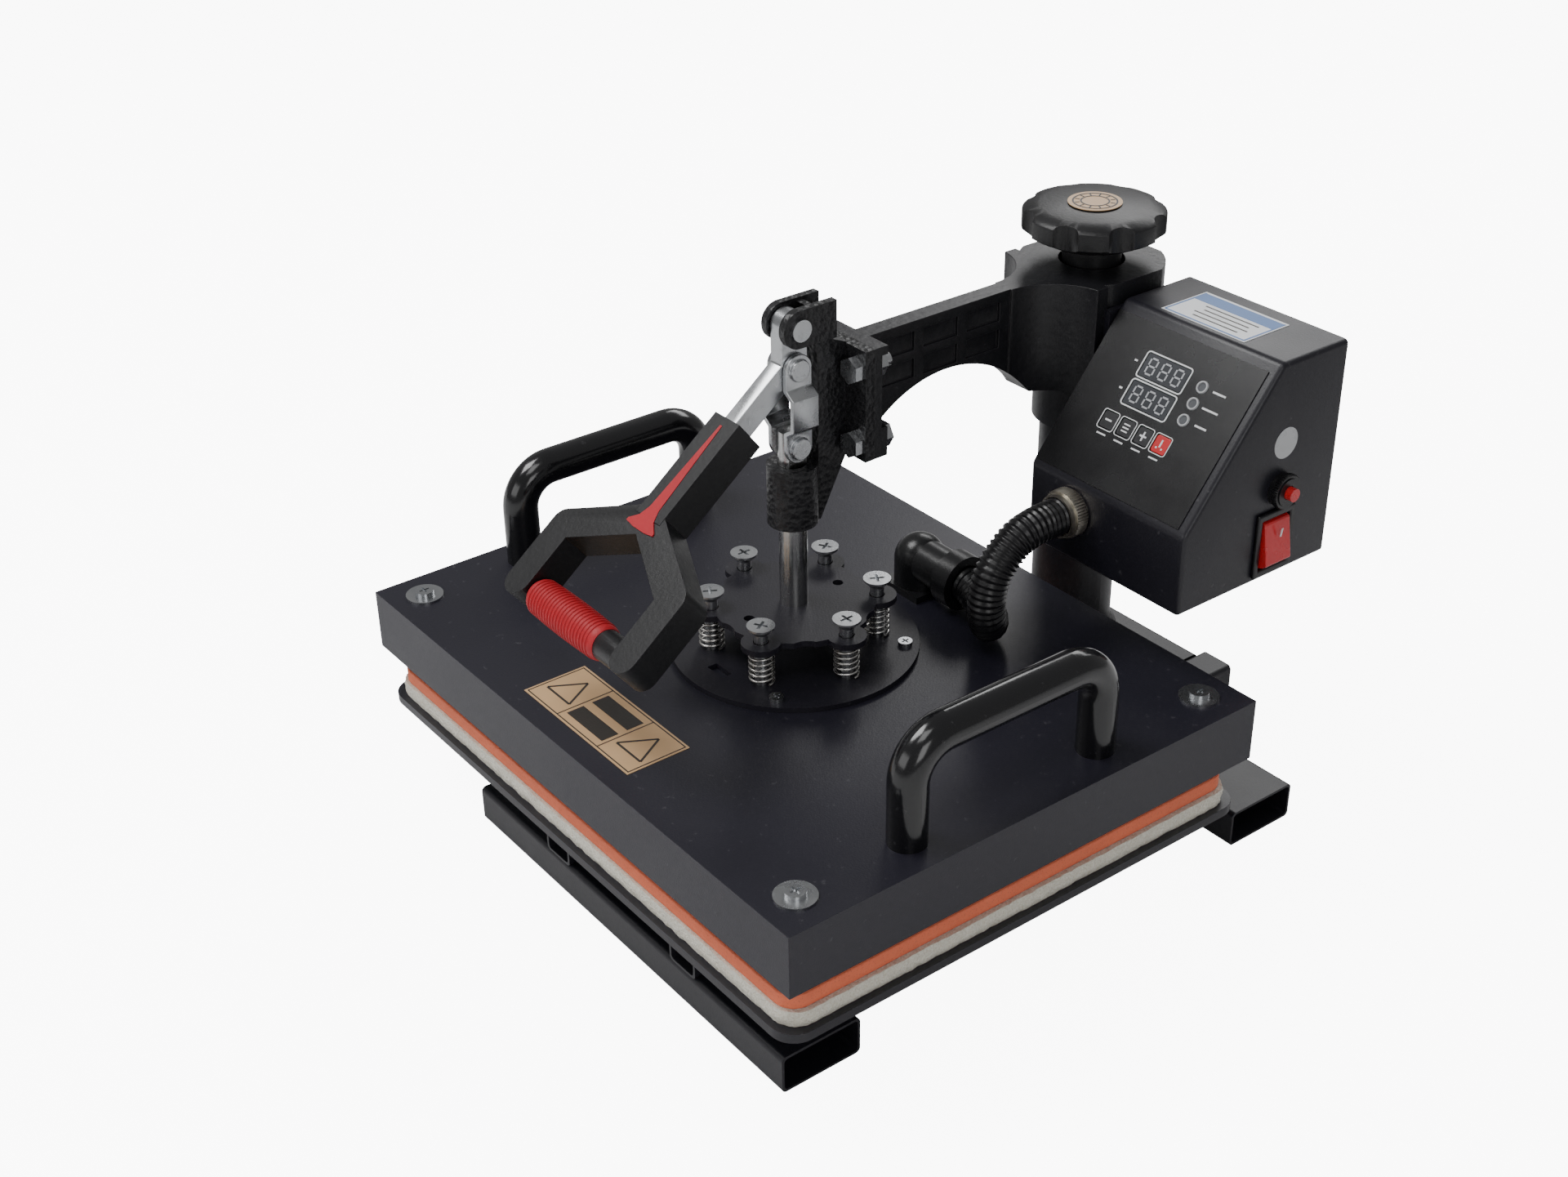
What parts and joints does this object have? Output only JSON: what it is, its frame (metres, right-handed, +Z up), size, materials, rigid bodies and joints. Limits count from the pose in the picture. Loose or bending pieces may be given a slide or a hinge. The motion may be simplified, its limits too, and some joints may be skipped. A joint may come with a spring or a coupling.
{
  "type": "swing-away flat heat press",
  "caption": "Swing-away flat heat press: padded lower tray on a tube base, spring-mounted heating platen, toggle lever clamp and control box on an arm that swings on a post.",
  "frame": {"origin": "on the table, under the middle of the whole press's bounding box", "axes": "+Z up, -Y towards the operator, +X to the operator's right; the platen is square to X and Y"},
  "size_m": [0.4, 0.4186, 0.3337],
  "materials": {
    "black_paint": "satin black powder coat",
    "post_paint": "satin black paint",
    "tray_paint": "semi-gloss black paint",
    "zinc_steel": "bright zinc plate",
    "machined_steel": "machined steel",
    "spring_steel": "zinc-plated spring wire",
    "felt": "pressed cream felt",
    "silicone": "matt orange-red silicone sponge",
    "knob_plastic": "moulded black plastic",
    "gold_label": "printed gold film",
    "arm_paint": "satin black paint on a casting",
    "hammertone": "black hammertone paint on a casting",
    "box_paint": "satin black powder coat",
    "panel_film": "gloss black printed film",
    "display_window": "grey display window",
    "lamp_plastic": "smoked lamp lenses",
    "key_plastic": "black key caps",
    "red_plastic": "red plastic",
    "board_green": "green board",
    "transformer_steel": "laminated core",
    "black_plastic": "moulded black plastic",
    "fitting_metal": "knurled plated metal",
    "white_label": "white printed film",
    "spider_paint": "satin black paint",
    "cover_paint": "satin black powder coat",
    "cast_aluminium": "machined casting with a coated face",
    "heater_sheath": "heat-stained steel tube",
    "ceramic_fibre": "ceramic fibre blanket",
    "cast_iron": "as cast",
    "handle_paint": "gloss black paint",
    "conduit_plastic": "corrugated black conduit",
    "yoke_plastic": "moulded black nylon",
    "grip_rubber": "ribbed red rubber"
  },
  "bodies": {
    "base": {"front_foot": "black_paint", "rear_foot": "black_paint", "left_rail": "black_paint", "right_rail": "black_paint", "rear_beam": "black_paint", "post": "post_paint", "pressure_nut": "machined_steel", "lower_tray": "tray_paint", "tray_screws": "zinc_steel", "felt_pad": "felt", "silicone_pad": "silicone"},
    "collar": {"lift_collar": "post_paint"},
    "knob": {"pressure_knob": "knob_plastic", "pressure_screw": "machined_steel", "knob_badge": "gold_label"},
    "arm": {"arm_casting": "arm_paint", "clamp_body": "hammertone", "clamp_bolts": "zinc_steel", "lever_pin": "zinc_steel", "control_box": "box_paint", "box_back": "box_paint", "box_bracket": "box_paint", "bracket_screws": "zinc_steel", "panel_overlay": "panel_film", "displays": "display_window", "indicator_lamps": "lamp_plastic", "circuit_board": "board_green", "transformer": "transformer_steel", "switch_bezel": "black_plastic", "breaker_body": "black_plastic", "hose_fitting": "fitting_metal", "cord_gland": "black_plastic", "top_label": "white_label", "hose": "conduit_plastic"},
    "lever": {"toggle_lever": "zinc_steel", "yoke_handle": "yoke_plastic", "grip_sleeve": "grip_rubber"},
    "link": {"link_plates": "zinc_steel"},
    "plunger": {"plunger_shaft": "machined_steel", "spider_plate": "spider_paint", "shaft_nut": "zinc_steel", "springs": "spring_steel"},
    "platen": {"platen_cover": "cover_paint", "heating_plate": "cast_aluminium", "heater_element": "heater_sheath", "insulation_pad": "ceramic_fibre", "load_ring": "cast_iron", "hub_plate": "spider_paint", "spring_screws": "zinc_steel", "hub_screws": "zinc_steel", "cover_screws": "zinc_steel", "u_handles": "handle_paint", "elbow_fitting": "black_plastic", "cover_label": "gold_label"},
    "minus_key": {"key_minus": "key_plastic"},
    "mode_key": {"key_mode": "key_plastic"},
    "plus_key": {"key_plus": "key_plastic"},
    "start_key": {"key_start": "red_plastic"},
    "rocker": {"power_rocker": "red_plastic"},
    "reset": {"breaker_button": "red_plastic"}
  },
  "joints": [
    {"name": "collar_lift", "type": "slide", "parent": "base", "child": "collar", "axis": [0, 0, 1], "range_m": [0, 0.008]},
    {"name": "knob_turn", "type": "hinge", "parent": "collar", "child": "knob", "pos_m": [0, 0.16525, 0.25], "axis": [0, 0, 1], "range_deg": [0, 1440]},
    {"name": "arm_swing", "type": "hinge", "parent": "collar", "child": "arm", "pos_m": [0, 0.16525, 0.25], "axis": [0, 0, 1], "range_deg": [-180, 180]},
    {"name": "lever_lift", "type": "hinge", "parent": "arm", "child": "lever", "pos_m": [0, -0.05275, 0.318], "axis": [-1, 0, 0], "range_deg": [0, 90]},
    {"name": "link_turn", "type": "hinge", "parent": "lever", "child": "link", "pos_m": [0, -0.05275, 0.295], "axis": [1, 0, 0], "range_deg": [0, 120.74]},
    {"name": "plunger_slide", "type": "slide", "parent": "arm", "child": "plunger", "axis": [0, 0, 1], "range_m": [0, 0.02932], "deforming": ["hose"]},
    {"name": "platen_float", "type": "slide", "parent": "plunger", "child": "platen", "axis": [0, 0, 1], "range_m": [0, 0.005], "stiffness_N_per_m": 20000, "springref_m": -0.005, "deforming": ["springs"]},
    {"name": "press_minus", "type": "slide", "parent": "arm", "child": "minus_key", "axis": [0, 0.7753, -0.6316], "range_m": [0, 0.0008], "stiffness_N_per_m": 400, "springref_m": -0.001},
    {"name": "press_mode", "type": "slide", "parent": "arm", "child": "mode_key", "axis": [0, 0.7753, -0.6316], "range_m": [0, 0.0008], "stiffness_N_per_m": 400, "springref_m": -0.001},
    {"name": "press_plus", "type": "slide", "parent": "arm", "child": "plus_key", "axis": [0, 0.7753, -0.6316], "range_m": [0, 0.0008], "stiffness_N_per_m": 400, "springref_m": -0.001},
    {"name": "press_start", "type": "slide", "parent": "arm", "child": "start_key", "axis": [0, 0.7753, -0.6316], "range_m": [0, 0.0008], "stiffness_N_per_m": 400, "springref_m": -0.001},
    {"name": "rocker_tilt", "type": "hinge", "parent": "arm", "child": "rocker", "pos_m": [0.155, 0.15525, 0.187], "axis": [0, 1, 0], "range_deg": [0, 18]},
    {"name": "press_reset", "type": "slide", "parent": "arm", "child": "reset", "axis": [-1, 0, 0], "range_m": [0, 0.002], "stiffness_N_per_m": 400, "springref_m": -0.002}
  ],
  "couplings": [
    {"joint": "knob_turn", "follows": "collar_lift", "rad_per_m": 3141.6},
    {"joint": "link_turn", "follows": "lever_lift", "ratio": 1.3416},
    {"joint": "plunger_slide", "follows": "lever_lift", "m_per_rad": 0.018667}
  ]
}
